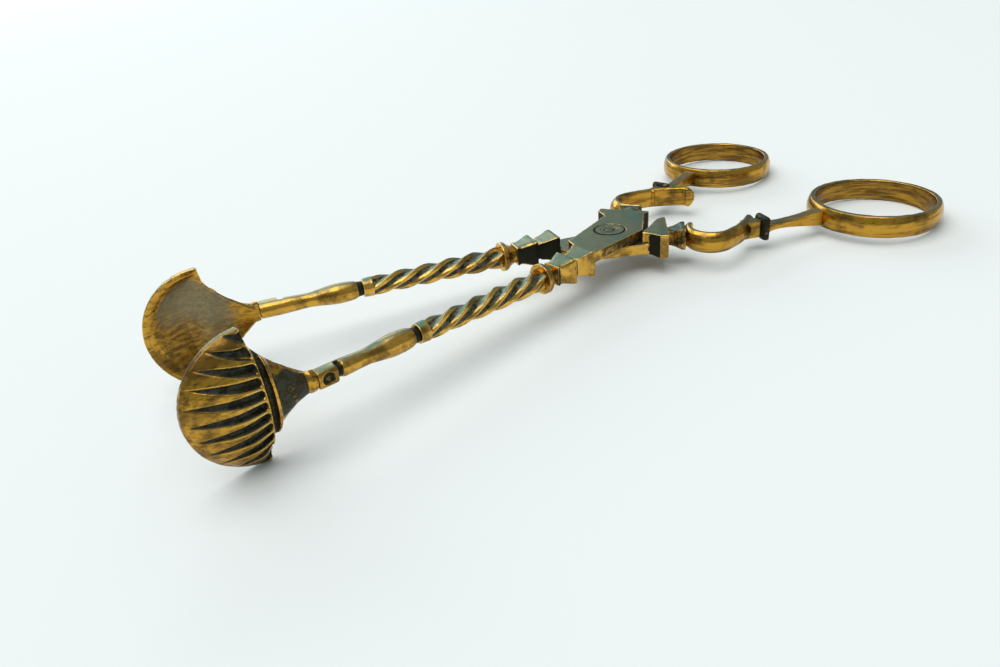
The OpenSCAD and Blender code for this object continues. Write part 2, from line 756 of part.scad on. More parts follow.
// The ring neck: thin behind the knop, growing in height to meet the ring
module ring_neck() {
  start = knop_thickness / 2;
  end = neck_run + neck_overrun;
  thin = start + neck_thin_from * neck_run;
  color(aged_brass) difference() {
    on_ring_neck() union() {
      profiled_bar(
        [[start, neck_root_half_w], [thin, ring_neck_r],
          [neck_thin_to * neck_run, ring_neck_r], [end, neck_end_half_w]],
        concat([[start, neck_root_half_h]],
          flare(thin, end, ring_neck_r, neck_end_half_h))
      );
      rod(spigot_r, -start - spigot_depth, start + past);
    }
    ring_body(0);
  }
}

// The finger ring: a plain bore, and an outer face crowned from edge to edge
module ring_body(inner_r) {
  half = ring_height / 2;
  translate([ring_reach, ring_y, 0]) rotate_extrude($fn = 96) polygon(concat(
    [[inner_r, -half]],
    [for (i = [0:crown_steps]) let (z = half * (2 * i / crown_steps - 1))
      [ring_r - ring_crown_r + sqrt(pow(ring_crown_r, 2) - z * z), z]],
    [[inner_r, half]]
  ));
}

module finger_ring() {
  color(bright_brass) ring_body(ring_bore_r);
}

// The rivet: a pin closed down at both ends into countersunk washers
module rivet() {
  top = leaf_thickness;
  sunk = top - head_sink;
  head = [
    [pin_r, sunk], [head_r, top], [boss_ring_r, top], [boss_groove_r, top - boss_groove],
    [boss_r, top], [boss_flat_r, top + head_rise], [0, top + head_rise]
  ];
  color(iron) rotate_extrude() polygon(concat(
    head, [for (i = [len(head) - 1:-1:0]) [head[i][0], -head[i][1]]]
  ));
}

module washer() {
  top = leaf_thickness;
  sunk = top - head_sink;
  color(aged_brass) rotate_extrude() polygon([
    [pin_r, top - washer_thickness], [washer_r, top - washer_thickness],
    [washer_r, top], [head_r, top], [pin_r, sunk]
  ]);
}

module upper_shell_grip() { upper_arm() shell_grip(); }
module upper_baluster() { upper_arm() baluster(); }
module upper_twisted_bar() { upper_arm() twisted_bar(); }
module upper_stem_collar() { upper_arm() stem_collar(); }
module upper_hinge_block() { upper_arm() hinge_block(washer_float); }
module upper_flared_collar() { upper_arm() flared_collar(); }
module upper_scroll() { upper_arm() scroll(sweep_end_upper, spur_sweep); }
module upper_handle_knop() { upper_arm() handle_knop(); }
module upper_ring_neck() { upper_arm() ring_neck(); }
module upper_finger_ring() { upper_arm() finger_ring(); }
module lower_shell_grip() { lower_arm() shell_grip(); }
module lower_baluster() { lower_arm() baluster(); }
module lower_twisted_bar() { lower_arm() twisted_bar(); }
module lower_stem_collar() { lower_arm() stem_collar(); }
module lower_hinge_block() { lower_arm() hinge_block(0); }
module lower_flared_collar() { lower_arm() flared_collar(); }
module lower_scroll() { lower_arm() scroll(sweep_end_lower, 0); }
module lower_handle_knop() { lower_arm() handle_knop(); }
module lower_ring_neck() { lower_arm() ring_neck(); }
module lower_finger_ring() { lower_arm() finger_ring(); }
module rivet_pin() { lie_down() rivet(); }
module rivet_washer_top() { lie_down() washer(); }
module rivet_washer_bottom() { lie_down() rotate([180, 0, 0]) washer(); }

upper_shell_grip();
upper_baluster();
upper_twisted_bar();
upper_stem_collar();
upper_hinge_block();
upper_flared_collar();
upper_scroll();
upper_handle_knop();
upper_ring_neck();
upper_finger_ring();
lower_shell_grip();
lower_baluster();
lower_twisted_bar();
lower_stem_collar();
lower_hinge_block();
lower_flared_collar();
lower_scroll();
lower_handle_knop();
lower_ring_neck();
lower_finger_ring();
rivet_pin();
rivet_washer_top();
rivet_washer_bottom();
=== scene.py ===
import json
import math
from collections import namedtuple
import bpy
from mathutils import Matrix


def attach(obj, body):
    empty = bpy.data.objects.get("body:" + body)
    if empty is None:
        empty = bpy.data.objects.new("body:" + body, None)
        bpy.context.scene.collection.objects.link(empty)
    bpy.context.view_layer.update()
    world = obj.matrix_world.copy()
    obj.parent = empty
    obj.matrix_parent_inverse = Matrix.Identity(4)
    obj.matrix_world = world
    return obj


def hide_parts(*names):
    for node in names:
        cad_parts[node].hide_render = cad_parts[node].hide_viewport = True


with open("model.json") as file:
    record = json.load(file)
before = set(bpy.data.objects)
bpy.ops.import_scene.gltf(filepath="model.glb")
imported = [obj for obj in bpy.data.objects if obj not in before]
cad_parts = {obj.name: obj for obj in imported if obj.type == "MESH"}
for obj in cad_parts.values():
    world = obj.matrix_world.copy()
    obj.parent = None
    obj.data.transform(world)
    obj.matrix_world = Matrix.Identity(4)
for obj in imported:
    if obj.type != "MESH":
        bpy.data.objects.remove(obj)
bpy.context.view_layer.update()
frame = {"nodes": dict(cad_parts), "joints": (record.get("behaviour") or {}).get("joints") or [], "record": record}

from types import SimpleNamespace

import bpy
import numpy as np
from mathutils import Matrix, Vector

# The scene is in metres. Sizes on the nippers are in millimetres
MM = 0.001

# The joint gives the frame that the nippers lie in: its origin is the rivet,
# and its Z axis is the rivet's
JOINT = frame["joints"][0]
PIVOT = Vector(JOINT["pos_m"])
RIVET_AXIS = Vector(JOINT["axis"]).normalized()
LIE_ANGLE = math.atan2(RIVET_AXIS.x, RIVET_AXIS.z)
FROM_RIVET = Matrix.Translation(PIVOT) @ Matrix.Rotation(LIE_ANGLE, 4, "Y")

# An arm's own frame: X from the shell to the ring, Y across the closing plane,
# with the arm's shell on the side of -Y, and Z along the rivet
HALF_OPEN = -math.radians(JOINT["range_deg"][0]) / 2
ARM_TURN = {
    "upper_arm": Matrix.Rotation(HALF_OPEN, 4, "Z"),
    "lower_arm": Matrix.Rotation(-HALF_OPEN, 4, "Z") @ Matrix.Rotation(math.pi, 4, "X"),
}

# The camera, in the rivet's frame, as the photograph was taken. Angles are in
# degrees
CAMERA_TARGET = (-36.0, -18.96, 0.0)
CAMERA_DISTANCE = 115.1
CAMERA_YAW = -29.0
CAMERA_ELEVATION = 28.1
CAMERA_ROLL = -4.9
SENSOR_WIDTH = 36.0
LENS = 27.47
CLIP_START = 5.0


def make_camera():
    yaw = math.radians(CAMERA_YAW)
    rise = math.radians(CAMERA_ELEVATION)
    roll = math.radians(CAMERA_ROLL)
    back = Vector((
        math.sin(yaw) * math.cos(rise),
        -math.cos(yaw) * math.cos(rise),
        math.sin(rise),
    ))
    level_right = Vector((0, 0, 1)).cross(back).normalized()
    level_up = back.cross(level_right)
    right = math.cos(roll) * level_right + math.sin(roll) * level_up
    up = math.cos(roll) * level_up - math.sin(roll) * level_right
    place = (Vector(CAMERA_TARGET) + back * CAMERA_DISTANCE) * MM
    turn = Matrix((right, up, back)).transposed().to_4x4()
    data = bpy.data.cameras.new("camera")
    data.sensor_width = SENSOR_WIDTH
    data.lens = LENS
    data.clip_start = CLIP_START * MM
    camera = bpy.data.objects.new("camera", data)
    camera.matrix_world = FROM_RIVET @ Matrix.Translation(place) @ turn
    bpy.context.scene.collection.objects.link(camera)
    bpy.context.scene.camera = camera


# Where a mix node keeps its two colours and its result
MIX_FIRST = 6
MIX_SECOND = 7
MIX_RESULT = 2


def node(tree, kind, **values):
    made = tree.nodes.new(kind)
    for key, value in values.items():
        setattr(made, key, value)
    return made


def feed(tree, source, target):
    """Links an output to a socket, or sets the socket to a plain value."""
    if isinstance(source, bpy.types.NodeSocket):
        tree.links.new(source, target)
    else:
        target.default_value = source


def maths(tree, operation, *values):
    made = node(tree, "ShaderNodeMath", operation=operation)
    for value, socket in zip(values, made.inputs):
        feed(tree, value, socket)
    return made.outputs[0]


def times(tree, first, second):
    return maths(tree, "MULTIPLY", first, second)


def scaled(tree, value, factor, added):
    """The value times the factor, plus what is added."""
    return maths(tree, "MULTIPLY_ADD", value, factor, added)


def unevenly(tree, value, source, swing):
    """Adds a noise of the given swing to a value."""
    return scaled(tree, source, swing, maths(tree, "ADD", value, -swing / 2))


def ramp(tree, value, low, high):
    """Goes smoothly from 0 at low to 1 at high."""
    made = node(tree, "ShaderNodeMapRange", interpolation_type="SMOOTHSTEP")
    for source, socket in zip((value, low, high, 0.0, 1.0), made.inputs):
        feed(tree, source, socket)
    return made.outputs[0]


def mixed(tree, factor, first, second):
    made = node(tree, "ShaderNodeMix", data_type="RGBA")
    feed(tree, factor, made.inputs[0])
    feed(tree, first, made.inputs[MIX_FIRST])
    feed(tree, second, made.inputs[MIX_SECOND])
    return made.outputs[MIX_RESULT]


def noise(tree, place, size, detail, roughness, stretch=None):
    """A noise whose lumps are about size mm across."""
    made = node(tree, "ShaderNodeTexNoise")
    if stretch is not None:
        mapping = node(tree, "ShaderNodeMapping")
        mapping.inputs["Scale"].default_value = stretch
        tree.links.new(place, mapping.inputs["Vector"])
        place = mapping.outputs[0]
    tree.links.new(place, made.inputs["Vector"])
    made.inputs["Scale"].default_value = 1 / (size * MM)
    made.inputs["Detail"].default_value = detail
    made.inputs["Roughness"].default_value = roughness
    return made.outputs["Fac"]


def attribute(tree, name):
    return node(tree, "ShaderNodeAttribute", attribute_name=name).outputs["Fac"]


def rgb(red, green, blue):
    return (red, green, blue, 1.0)


GOLD = rgb(0.60, 0.32, 0.042)
# Pale gold is worn edges and painted highlights
PALE_GOLD = rgb(0.86, 0.56, 0.15)
# Brown is stains, and painted shade on what faces down and inside the rings
BROWN = rgb(0.135, 0.075, 0.022)
# Teal is a grey green film on what faces up, partly patina and partly a painted reflection of bluish light
TEAL = rgb(0.12, 0.20, 0.145)
# This black is soot and pocks, and painted shade on the hinge block
SOOT_AND_SHADE_BLACK = rgb(0.017, 0.018, 0.010)
ASH = rgb(0.115, 0.115, 0.075)
DARK_ASH = rgb(0.06, 0.06, 0.04)
OLIVE_GREY = rgb(0.25, 0.225, 0.14)

# The noises that break up the brass, from coarse to fine: the size in mm of the
# lumps, their detail and their roughness
BLOTCH = (5.5, 3.0, 0.55)
PATCH = (1.3, 4.0, 0.6)
STREAK = (0.6, 4.0, 0.65)
GRAIN = (0.5, 5.0, 0.62)
BRUSH = (0.20, 5.0, 0.72)
FINE = (0.17, 2.0, 0.6)
BRUSH_WAY = (0.08, 1.0, 1.0)

# Each swing is how far a noise moves a mask, each edge is where the mask starts
# and is full, and each share is how much of it counts
# The soot mask also carries the painted shade on the hinge block
SOOT_AND_SHADE_GRAIN_SWING = 0.5
SOOT_AND_SHADE_PATCH_SWING = 0.4
SOOT_AND_SHADE_EDGE = (0.38, 0.62)
BROWN_SWING = 0.9
BROWN_EDGE = (0.3, 0.8)
STAIN_SWING = 0.3
STAIN_EDGE = (0.46, 0.64)
STAIN_SHARE = 0.75
# The worn edges are also painted highlights
WORN_AND_HIGHLIT_SWING = 0.6
WORN_AND_HIGHLIT_EDGE = (0.2, 0.9)
WORN_AND_HIGHLIT_SHARE = 0.85
# The teal on what faces up is partly patina and partly a painted reflection of bluish light
FILM_AND_REFLECTION_SWING = 0.2
FILM_AND_REFLECTION_EDGE = (0.72, 0.96)
FILM_AND_REFLECTION_LEAST = 0.68
FILM_AND_REFLECTION_BY_BLOTCH = 0.6
FILM_AND_REFLECTION_LOST_BY_WEAR_AND_HIGHLIGHT = 0.7
POCK_EDGE = (0.60, 0.68)
POCK_PATCH_EDGE = (0.64, 0.74)
POCK_SHARE = 0.85
STREAK_EDGE = (0.46, 0.66)
STREAK_SHARE = 0.8
CLOUD_BLOTCH_SWING = 0.9
CLOUD_BRUSH_SWING = 0.5
CLOUD_EDGE = (0.35, 0.9)
CLOUD_SHARE = 0.8
BOWL_EDGE = (0.02, 0.2)
BRUSH_EDGE = (0.42, 0.72)
BRUSH_SHARE = 0.7
HOLLOW_SWING = 0.9
HOLLOW_EDGE = (0.36, 0.62)

# How shiny and how rough the brass is, and what soot and painted shade, patches,
# the teal film and its painted reflection, stains and the brushed inside change
METALLIC_LOST_BY_SOOT_AND_SHADE = 0.6
SPECULAR = 0.5
SPECULAR_LOST_BY_SOOT_AND_SHADE = 0.3
ROUGHNESS = 0.11
ROUGH_PATCH = 0.22
ROUGH_DARK_AND_TEAL = 0.2
ROUGH_BROWN = 0.08
ROUGH_INSIDE = 0.12

# The fine relief: its depth in mm, its strength, and the share of each part
BUMP_DEPTH = 0.04
BUMP_STRENGTH = 0.5
BUMP_GRAIN = 0.8
BUMP_FINE = 0.2
BUMP_POCK = -0.9
BUMP_SOOT_AND_SHADE = 0.7
BUMP_BRUSH = 0.7


def brass_fields(tree, grain_way):
    """The noises, what the mesh says, and how much the surface faces up."""
    place = node(tree, "ShaderNodeTexCoord").outputs["Object"]
    geometry = node(tree, "ShaderNodeNewGeometry")
    normal = node(tree, "ShaderNodeSeparateXYZ")
    tree.links.new(geometry.outputs["Normal"], normal.inputs[0])
    field = SimpleNamespace(
        up=normal.outputs["Z"],
        blotch=noise(tree, place, *BLOTCH),
        patch=noise(tree, place, *PATCH),
        streak=noise(tree, place, *STREAK, stretch=grain_way),
        grain=noise(tree, place, *GRAIN),
        brush=noise(tree, place, *BRUSH, stretch=BRUSH_WAY),
        fine=noise(tree, place, *FINE),
        dark=attribute(tree, "dark"),
        brown=attribute(tree, "brown"),
        worn_and_highlit=attribute(tree, "worn_and_highlit"),
        inside=attribute(tree, "inside"),
    )
    field.mottle = field.patch if grain_way is None else field.streak
    return field


def brass_masks(tree, field, film_and_reflection, pits):
    """Where the soot and painted shade, the brown, the worn edges and painted highlights, the teal film and its
    painted reflection, and the pocks are.
    """
    soot = unevenly(tree, field.dark, field.grain, SOOT_AND_SHADE_GRAIN_SWING)
    soot = unevenly(tree, soot, field.patch, SOOT_AND_SHADE_PATCH_SWING)
    brown = unevenly(tree, field.brown, field.mottle, BROWN_SWING)
    stain = unevenly(tree, field.blotch, field.mottle, STAIN_SWING)
    stain = times(tree, ramp(tree, stain, *STAIN_EDGE), STAIN_SHARE)
    # Worn edges and painted highlights
    worn_and_highlit = ramp(tree, unevenly(tree, field.worn_and_highlit, field.grain, WORN_AND_HIGHLIT_SWING), *WORN_AND_HIGHLIT_EDGE)
    # Teal on what faces up: patina and a painted reflection of bluish light
    teal_film_and_reflection = ramp(tree, unevenly(tree, field.up, field.patch, FILM_AND_REFLECTION_SWING), *FILM_AND_REFLECTION_EDGE)
    teal_film_and_reflection = times(tree, teal_film_and_reflection, film_and_reflection)
    teal_film_and_reflection = times(tree, teal_film_and_reflection, scaled(tree, field.blotch, FILM_AND_REFLECTION_BY_BLOTCH, FILM_AND_REFLECTION_LEAST))
    teal_film_and_reflection = times(tree, teal_film_and_reflection, scaled(tree, worn_and_highlit, -FILM_AND_REFLECTION_LOST_BY_WEAR_AND_HIGHLIGHT, 1.0))
    low, high = POCK_PATCH_EDGE
    pitted = ramp(tree, field.patch, low - pits, high - pits)
    return SimpleNamespace(
        soot=ramp(tree, soot, *SOOT_AND_SHADE_EDGE),
        brown=maths(tree, "MAXIMUM", ramp(tree, brown, *BROWN_EDGE), stain),
        worn_and_highlit=worn_and_highlit,
        teal_film_and_reflection=teal_film_and_reflection,
        pocks=times(tree, ramp(tree, field.fine, *POCK_EDGE), pitted),
    )


def brass_colour(tree, field, mask, gold, streaked, hollow_colour):
    """The gold under its streaks, cloudy inside, teal film and painted reflection, wear and painted highlights,
    pocks, and soot and painted shade.
    """
    colour = mixed(tree, mask.brown, gold, BROWN)
    if streaked:
        streaks = times(tree, ramp(tree, field.streak, *STREAK_EDGE), STREAK_SHARE)
        colour = mixed(tree, streaks, colour, BROWN)
    cloud = unevenly(tree, field.inside, field.blotch, CLOUD_BLOTCH_SWING)
    cloud = unevenly(tree, cloud, field.brush, CLOUD_BRUSH_SWING)
    cloud = times(tree, ramp(tree, cloud, *CLOUD_EDGE), CLOUD_SHARE)
    colour = mixed(tree, cloud, colour, OLIVE_GREY)
    bowl = ramp(tree, field.inside, *BOWL_EDGE)
    brushed = times(tree, bowl, ramp(tree, field.brush, *BRUSH_EDGE))
    colour = mixed(tree, times(tree, brushed, BRUSH_SHARE), colour, BROWN)
    # Teal film and painted reflection on what faces up
    colour = mixed(tree, mask.teal_film_and_reflection, colour, TEAL)
    # Pale gold on worn edges and painted highlights
    colour = mixed(tree, times(tree, mask.worn_and_highlit, WORN_AND_HIGHLIT_SHARE), colour, PALE_GOLD)
    colour = mixed(tree, times(tree, mask.pocks, POCK_SHARE), colour, SOOT_AND_SHADE_BLACK)
    hollow = unevenly(tree, field.patch, field.grain, HOLLOW_SWING)
    black = mixed(tree, ramp(tree, hollow, *HOLLOW_EDGE), SOOT_AND_SHADE_BLACK, hollow_colour)
    # Soot and painted shade
    return mixed(tree, mask.soot, colour, black)


def brass_roughness(tree, field, mask, dull):
    rough = scaled(tree, field.patch, ROUGH_PATCH, ROUGHNESS + dull)
    dark_and_teal = maths(tree, "MAXIMUM", mask.soot, mask.teal_film_and_reflection)
    rough = scaled(tree, dark_and_teal, ROUGH_DARK_AND_TEAL, rough)
    rough = scaled(tree, mask.brown, ROUGH_BROWN, rough)
    return scaled(tree, field.inside, ROUGH_INSIDE, rough)


def brass_relief(tree, field, mask):
    height = scaled(tree, field.fine, BUMP_FINE, times(tree, field.grain, BUMP_GRAIN))
    height = scaled(tree, mask.pocks, BUMP_POCK, height)
    height = scaled(tree, times(tree, mask.soot, field.fine), BUMP_SOOT_AND_SHADE, height)
    height = scaled(tree, times(tree, field.inside, field.brush), BUMP_BRUSH, height)
    bump = node(tree, "ShaderNodeBump")
    bump.inputs["Strength"].default_value = BUMP_STRENGTH
    bump.inputs["Distance"].default_value = BUMP_DEPTH * MM
    tree.links.new(height, bump.inputs["Height"])
    return bump.outputs[0]


def brass(name, gold, film_and_reflection, pits, grain_way=None, hollow_colour=SOOT_AND_SHADE_BLACK, dull=0.0):
    """Handled brass. The mesh says where it is dark with soot and painted shade,
    brown with stains and painted shade, or worn with painted highlights, and the
    noises break those up. What faces up has a grey green film, partly patina and
    partly a painted reflection of bluish light. More pits are more black pocks,
    and grain_way stretches the streaks."""
    material = bpy.data.materials.new(name)
    material.use_nodes = True
    tree = material.node_tree
    shader = tree.nodes["Principled BSDF"]
    field = brass_fields(tree, grain_way)
    mask = brass_masks(tree, field, film_and_reflection, pits)
    looks = {
        "Base Color": brass_colour(
            tree, field, mask, gold, grain_way is not None, hollow_colour),
        "Metallic": scaled(tree, mask.soot, -METALLIC_LOST_BY_SOOT_AND_SHADE, 1.0),
        "Specular IOR Level": scaled(tree, mask.soot, -SPECULAR_LOST_BY_SOOT_AND_SHADE, SPECULAR),
        "Roughness": brass_roughness(tree, field, mask, dull),
        "Normal": brass_relief(tree, field, mask),
    }
    for socket, output in looks.items():
        tree.links.new(output, shader.inputs[socket])
    return material


def numbers(collection, field, width):
    values = np.empty(len(collection) * width)
    collection.foreach_get(field, values)
    return values.reshape(-1, width)


def line(values, low, high):
    """Goes straight from 0 at low to 1 at high."""
    return np.clip((values - low) / (high - low), 0, 1)


def step(values, low, high):
    """Goes smoothly from 0 at low to 1 at high."""
    s = line(values, low, high)
    return s * s * (3 - 2 * s)


def between(values, low, high, blur):
    """Is 1 from low to high and 0 outside, with ends blurred by blur each way."""
    return step(values, low - blur, low + blur) * (1 - step(values, high - blur, high + blur))


def moved(vectors, matrix, point):
    """Points, in mm, or directions, through a matrix of the scene."""
    shift = np.array(matrix.translation) / MM if point else 0
    return vectors @ np.array(matrix.to_3x3()).T + shift


# How many cells the uneven fields have each way before they repeat
CELLS = 32


def lumps(points, size, seed):
    """A smooth uneven field between -1 and 1, whose lumps are size mm across."""
    lattice = np.random.RandomState(seed).uniform(-1, 1, (CELLS, CELLS, CELLS))
    place = points / size
    corner = np.floor(place).astype(int)
    part = step(place - corner, 0, 1)
    total = np.zeros(len(points))
    for offset in np.ndindex(2, 2, 2):
        weight = np.prod(np.where(offset, part, 1 - part), axis=1)
        total += weight * lattice[tuple(((corner + offset) % CELLS).T)]
    return total


def changed(mesh, kind, **settings):
    """A new mesh that is this one through a modifier of the given kind."""
    work = bpy.data.objects.new("work", mesh)
    bpy.context.scene.collection.objects.link(work)
    modifier = work.modifiers.new("work", kind)
    for key, value in settings.items():
        setattr(modifier, key, value)
    view = bpy.context.evaluated_depsgraph_get()
    result = bpy.data.meshes.new_from_object(work.evaluated_get(view))
    bpy.data.objects.remove(work)
    return result


# A smoothing pass at this factor spreads a point over half a step of the grid,
# and many passes over the square root of their number times as much
SMOOTH_FACTOR = 0.5
PASS_STEP = 0.5


def smoothed(mesh, reach, grid):
    """Where the points of a mesh come to when each is spread over reach mm."""
    passes = math.ceil((reach / (PASS_STEP * grid)) ** 2)
    result = changed(mesh, "SMOOTH", factor=SMOOTH_FACTOR, iterations=passes)
    points = numbers(result.vertices, "co", 3)
    bpy.data.meshes.remove(result)
    return points


def place_points(mesh, points):
    """Moves the points of a mesh, and gives its new normals."""
    mesh.vertices.foreach_set("co", points.ravel())
    mesh.update()
    return numbers(mesh.vertex_normals, "vector", 3)


# Places and sizes below are in mm in an arm's frame. A pair is where a stretch
# or a blurred edge starts and ends. A facing is how far a normal leans one way,
# and a soot, a painted shade or a brown is how full that mark is. A spot below
# holds the points and normals of a mesh in the scene, and as place and facing in
# the arm's frame
STEM_OFFSET = 3.1

# The fan of the shell's flutes: its centre, its reach to their base line, their
# pitch in degrees, and the shell's radius
FAN_X = -53.6
FAN_REACH = 18.9
FLUTE_PITCH = 5.2
SHELL_R = 10.7

# Half a flute's width at its base, as a share of the pitch, and how it narrows.
# Its tip and its stretch are shares of the run from the base line to the rim
FLUTE_HALF = 0.40
FLUTE_EDGE = (-0.06, 0.08)
FLUTE_TAPER = 1.8
FLUTE_TIP = 0.96
FLUTE_STRETCH = (0.04, 0.97)
FLUTE_BLUR = 0.02
LEAST_RUN = 0.1
FLUTE_DEEPENING = 0.2
FLUTE_SOOT = 0.9

# The outside of the shell, with the sunk web of its neck and the cross groove
OUTER_FACING = (0.2, 0.5)
HOLLOW_SOOT_FACING = (0.0, 0.3)
WEB = (-70.6, -66.3)
WEB_HALF_HEIGHT = 3.5
WEB_BLUR = 0.15
WEB_SIDE_BLUR = 0.5
WEB_SOOT = 0.62
CROSS_GROOVE = (-72.2, -71.4)
CROSS_GROOVE_BLUR = 0.1

# The inside of the shell: brown, and grey from a height above the table that
# holds at GREY_X and falls by the slope towards the neck
BOWL_FACING = (0.1, 0.4)
BOWL_DEPTH = (0.3, 1.3)
BOWL_END = (-71.0, -65.0)
BOWL_BROWN = 0.62
GREY_X = -78.0
GREY_SLOPE = 0.5
GREY_HEIGHT = (7.0, 16.0)
GREY_LEAST = 0.1

# The neck's inner half, which thins to meet the baluster
NECK_INNER_EDGE = (-STEM_OFFSET - 0.2, -STEM_OFFSET + 0.6)
NECK_THINNING = 0.3
NECK_THINNING_RUN = (-68.5, -65.0)

# The baluster's grooves, of which the one behind the knop is on the outer half
KNOP_GROOVE = (-61.8, -60.95)
KNOP_GROOVE_SIDE = (-STEM_OFFSET, -STEM_OFFSET + 0.6)
END_GROOVE = (-48.3, -47.1)
GROOVE_BLUR = 0.12
GROOVE_SOOT = 0.9

# The hinge block: its rounder foot, its waist and the foot's end
BLOCK_FOOT = (-17.9, -14.7)
BLOCK_FOOT_BLUR = 0.4
BLOCK_ROUNDING = 0.9
BLOCK_WAIST = (-14.6, -13.6)
BLOCK_WAIST_DEPTH = 0.12
BLOCK_WAIST_BLUR = 0.2
WAIST_MARK = (-14.7, -13.5)
WAIST_MARK_BLUR = 0.2
FOOT_END = (-18.4, -17.9)
FOOT_END_BLUR = 0.1
WAIST_SOOT = 0.6

# Its sides, from the rivet outwards
SIDE_FACING = (0.4, 0.7)
FLAT_FACING = (0.5, 0.8)
BLOCK_START = (9.0, 10.0)
# Painted shade on the sides that face the other arm, outwards and towards the shell
INNER_SIDE_SHADE = 0.72
FRONT_SIDE_SHADE = 0.45
OUTER_SIDE_SHADE = 0.33

# Its leaf, and the gap round the washer
LEAF = (-8.5, 6.0)
LEAF_BLUR = 0.5
LEAF_HEIGHT = (0.0, 0.4)
# Painted shade on the leaf's sides, by arm
LEAF_SIDE_SHADE = {"upper_arm": 0.52, "lower_arm": 0.25}
WASHER_GAP = (2.75, 3.05)
WASHER_GAP_BLUR = 0.1
WASHER_GAP_SOOT = 0.8
LEAF_WEAR_AND_HIGHLIGHT_START = (3.1, 3.7)

# Its shoulder knop
SHOULDER_WAY = np.array([0.883, 0.469, 0.0])
SHOULDER_FACING = (0.25, 0.5)
SHOULDER_START = (4.5, 5.5)
# Painted shade on the side of the knop that faces the rivet
SHOULDER_SHADE = 0.95

# The handle
FLARED_COLLAR_SOOT = 0.52
HANDLE_KNOP_SOOT = 0.62
NECK_START = np.array([27.33, 9.7, 0.0])
NECK_WAY = np.array([0.9934, 0.1146, 0.0])
NECK_RUN = 12.23
NECK_SLIMMING = 0.38
NECK_SLIM_FROM = (0.0, 0.15)
NECK_SLIM_TO = (0.25, 0.95)
RING_CENTRE = np.array([51.6, 12.5, 0.0])
RING_INSIDE = (4.0, 9.0)
# Painted shade on the inside of the ring
RING_INSIDE_SHADE = 0.6

# The rivet: the rings of soot on its head, by radius, and the rusty middle
HEAD_RING = (1.6, 2.0)
HEAD_RING_BLUR = 0.08
MIDDLE_RING = (0.85, 1.15)
MIDDLE_RING_BLUR = 0.06
HEAD_SOOT = 0.9
RUST_END = (0.7, 0.9)
WASHER_RIM = (2.5, 2.7)
WASHER_SOOT = 0.85


def flute_mask(place):
    """Where the hollows of the flutes are on a shell, each narrowing to a point
    near the rim. The flutes spread from a point on the stem's axis."""
    along = FAN_X - place[:, 0]
    angle = np.arctan2(place[:, 2], along)
    turns = np.degrees(angle) / FLUTE_PITCH
    off_middle = np.abs(turns - np.round(turns))
    base = FAN_REACH / np.cos(angle)
    rim = FAN_REACH * np.cos(angle) + np.sqrt(
        np.maximum(SHELL_R ** 2 - (FAN_REACH * np.sin(angle)) ** 2, 0))
    run = np.maximum(rim - base, LEAST_RUN)
    part = (np.hypot(along, place[:, 2]) - base) / run
    half = FLUTE_HALF * (1 - np.clip(part / FLUTE_TIP, 0, 1) ** FLUTE_TAPER)
    return step(half - off_middle, *FLUTE_EDGE) * between(part, *FLUTE_STRETCH, FLUTE_BLUR)


def reshape_shell(place, facing):
    """Deeper flutes, and a neck that runs smoothly into the baluster inside."""
    outer = step(-facing[:, 1], *OUTER_FACING)
    place[:, 1] += FLUTE_DEEPENING * flute_mask(place) * outer
    inner_half = step(place[:, 1], *NECK_INNER_EDGE)
    place[:, 2] *= 1 - NECK_THINNING * inner_half * step(place[:, 0], *NECK_THINNING_RUN)


def reshape_block(place, facing):
    """A groove round the waist of the hinge block."""
    waist = 1 - BLOCK_WAIST_DEPTH * between(place[:, 0], *BLOCK_WAIST, BLOCK_WAIST_BLUR)
    place[:, 1] = (place[:, 1] + STEM_OFFSET) * waist - STEM_OFFSET
    place[:, 2] *= waist


def reshape_ring_neck(place, facing):
    """A ring neck that is slim behind its knop."""
    part = (place - NECK_START) @ NECK_WAY / NECK_RUN
    thick = 1 - step(part, *NECK_SLIM_FROM) + step(part, *NECK_SLIM_TO)
    place[:, 2] *= 1 - NECK_SLIMMING + NECK_SLIMMING * thick


RESHAPE = {
    "shell_grip": reshape_shell,
    "hinge_block": reshape_block,
    "ring_neck": reshape_ring_neck,
}


def mark_shell(spot, marks):
    """Soot in the flutes, the groove and the web, and the smooth inside, which is
    grey above and brown below."""
    along, across, height = spot.place.T
    out = -spot.facing[:, 1]
    web = between(along, *WEB, WEB_BLUR)
    web = web * between(height, -WEB_HALF_HEIGHT, WEB_HALF_HEIGHT, WEB_SIDE_BLUR)
    groove = between(along, *CROSS_GROOVE, CROSS_GROOVE_BLUR)
    flutes = FLUTE_SOOT * flute_mask(spot.place)
    soot = step(out, *OUTER_FACING) * np.max([WEB_SOOT * web, groove, flutes], axis=0)
    marks.dark = np.maximum(soot, marks.dark * step(out, *HOLLOW_SOOT_FACING))
    bowl = step(-out, *BOWL_FACING) * step(-across, *BOWL_DEPTH)
    bowl = bowl * (1 - step(along, *BOWL_END))
    marks.brown = np.maximum(marks.brown, BOWL_BROWN * bowl)
    grey = line(spot.points[:, 2] + GREY_SLOPE * (along - GREY_X), *GREY_HEIGHT)
    marks.inside = bowl * (GREY_LEAST + (1 - GREY_LEAST) * grey)


def mark_baluster(spot, marks):
    """Soot in the grooves. The one behind the knop is on the outer half only."""
    along, across = spot.place[:, :2].T
    outer_half = 1 - step(across, *KNOP_GROOVE_SIDE)
    end = between(along, *END_GROOVE, GROOVE_BLUR)
    behind_knop = outer_half * between(along, *KNOP_GROOVE, GROOVE_BLUR)
    marks.dark = np.maximum(marks.dark, GROOVE_SOOT * np.maximum(end, behind_knop))


